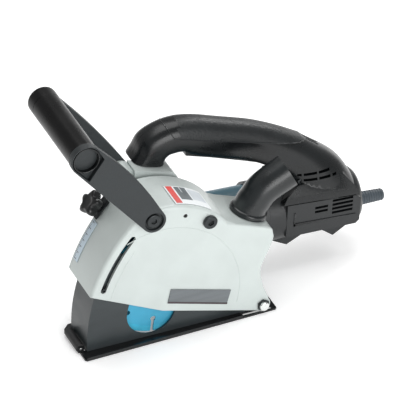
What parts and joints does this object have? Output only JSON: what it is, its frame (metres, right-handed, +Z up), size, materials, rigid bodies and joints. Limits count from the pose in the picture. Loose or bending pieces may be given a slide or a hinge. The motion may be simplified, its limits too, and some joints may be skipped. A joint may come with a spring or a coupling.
{
  "type": "wall chaser",
  "caption": "Wall chaser with two diamond wheels in a hinged silver case over a sliding sole and guard, loop rear handle, U-shaped front grip and dust elbow",
  "frame": {"origin": "centre of the bounding box in plan, on the plane of the sole's underside", "axes": "+X to the rear of the tool, +Y towards the motor side, +Z up"},
  "size_m": [0.3918, 0.138, 0.27],
  "materials": {
    "cast_silver": "silver coated die casting",
    "black_steel": "satin black coated steel",
    "bright_steel": "machined steel",
    "dark_bolt": "blackened steel",
    "black_plastic": "fine-textured black moulding",
    "teal_plastic": "teal moulding",
    "blue_wheel": "blue painted steel core, sintered rim",
    "roller_plastic": "hard black plastic",
    "plate_grey": "thin grey plate",
    "plate_white": "thin printed film without text",
    "copper": "copper and brass",
    "core_steel": "laminated and cut steel",
    "carbon": "black carbon or moulding"
  },
  "bodies": {
    "base": {"base_plate": "black_steel", "inner_guard": "black_steel", "guide_pin": "dark_bolt", "pivot_bolt": "bright_steel", "pivot_washer": "dark_bolt", "pivot_nut": "dark_bolt", "return_spring": "bright_steel", "front_roller_axle": "bright_steel", "rear_roller_axle": "bright_steel"},
    "machine": {"bearing_box": "cast_silver", "blade_case": "cast_silver", "case_back": "cast_silver", "case_screw": "dark_bolt", "cord_guard": "black_plastic", "depth_scale": "plate_white", "dust_nozzle": "black_plastic", "fan_baffle": "black_plastic", "far_brush": "carbon", "far_brush_holder": "copper", "far_grip_bolt": "dark_bolt", "far_handle_half": "black_plastic", "field_core": "core_steel", "front_bearing": "bright_steel", "gear_housing": "cast_silver", "motor_housing": "teal_plastic", "name_plate": "plate_grey", "near_brush": "carbon", "near_brush_holder": "copper", "near_grip_bolt": "dark_bolt", "near_handle_half": "black_plastic", "needle_bearing": "bright_steel", "rear_bearing": "bright_steel", "rear_housing": "black_plastic", "spindle_bearing": "bright_steel", "switch": "carbon", "top_plate": "plate_white"},
    "front_wheel_roller": {"front_roller": "roller_plastic"},
    "rear_wheel_roller": {"rear_roller": "roller_plastic"},
    "spindle_unit": {"spindle": "bright_steel", "lock_nut": "dark_bolt", "inner_flange": "bright_steel", "wheel_spacer": "bright_steel", "near_diamond_wheel": "blue_wheel", "far_diamond_wheel": "blue_wheel", "bevel_gear": "core_steel"},
    "armature_unit": {"armature_shaft": "bright_steel", "bevel_pinion": "core_steel", "cooling_fan": "black_plastic", "armature_core": "core_steel", "commutator": "copper"},
    "depth_stop": {"depth_stop_slider": "black_steel"},
    "clamp_knob": {"depth_stop_knob": "black_plastic"},
    "front_grip": {"near_grip_arm": "black_plastic", "far_grip_arm": "black_plastic", "front_grip_tube": "black_plastic", "front_grip_cap": "black_plastic"},
    "trigger": {"switch_lever": "black_plastic"},
    "shaft_lock": {"shaft_lock_button": "black_plastic"}
  },
  "joints": [
    {"name": "plunge", "type": "hinge", "parent": "base", "child": "machine", "pos_m": [0.02207, -0.028, 0.009], "axis": [0, -1, 0], "range_deg": [0, 14.4], "stiffness_Nm_per_rad": 5, "springref_deg": -68.75},
    {"name": "front_roller_spin", "type": "hinge", "parent": "base", "child": "front_wheel_roller", "pos_m": [-0.18173, -0.033, 0.0053], "axis": [0, 1, 0], "continuous": true},
    {"name": "rear_roller_spin", "type": "hinge", "parent": "base", "child": "rear_wheel_roller", "pos_m": [-0.00193, -0.033, 0.0053], "axis": [0, 1, 0], "continuous": true},
    {"name": "spindle_spin", "type": "hinge", "parent": "machine", "child": "spindle_unit", "pos_m": [-0.09343, -0.028, 0.0675], "axis": [0, 1, 0], "continuous": true},
    {"name": "armature_spin", "type": "hinge", "parent": "machine", "child": "armature_unit", "pos_m": [-0.09343, 0.0345, 0.0675], "axis": [0.9986, 0, -0.0523], "continuous": true},
    {"name": "depth_stop_set", "type": "hinge", "parent": "machine", "child": "depth_stop", "pos_m": [0.02207, 0.002, 0.009], "axis": [0, -1, 0], "range_deg": [-3, 17.5]},
    {"name": "clamp_knob_turn", "type": "hinge", "parent": "depth_stop", "child": "clamp_knob", "pos_m": [-0.13889, -0.0005, 0.14169], "axis": [-0.7716, 0, 0.6361], "continuous": true},
    {"name": "front_grip_tilt", "type": "hinge", "parent": "machine", "child": "front_grip", "pos_m": [-0.10523, -0.018, 0.1574], "axis": [0, -1, 0], "range_deg": [0, 35]},
    {"name": "lever_press", "type": "hinge", "parent": "machine", "child": "trigger", "pos_m": [0.06607, 0.0345, 0.126], "axis": [0, 1, 0], "range_deg": [0, 3], "stiffness_Nm_per_rad": 1.5, "springref_deg": -11.46},
    {"name": "shaft_lock_press", "type": "slide", "parent": "machine", "child": "shaft_lock", "axis": [0, -1, 0], "range_m": [0, 0.003], "stiffness_N_per_m": 800, "springref_m": -0.004}
  ],
  "couplings": [
    {"joint": "armature_spin", "follows": "spindle_spin", "ratio": 3.4167}
  ]
}
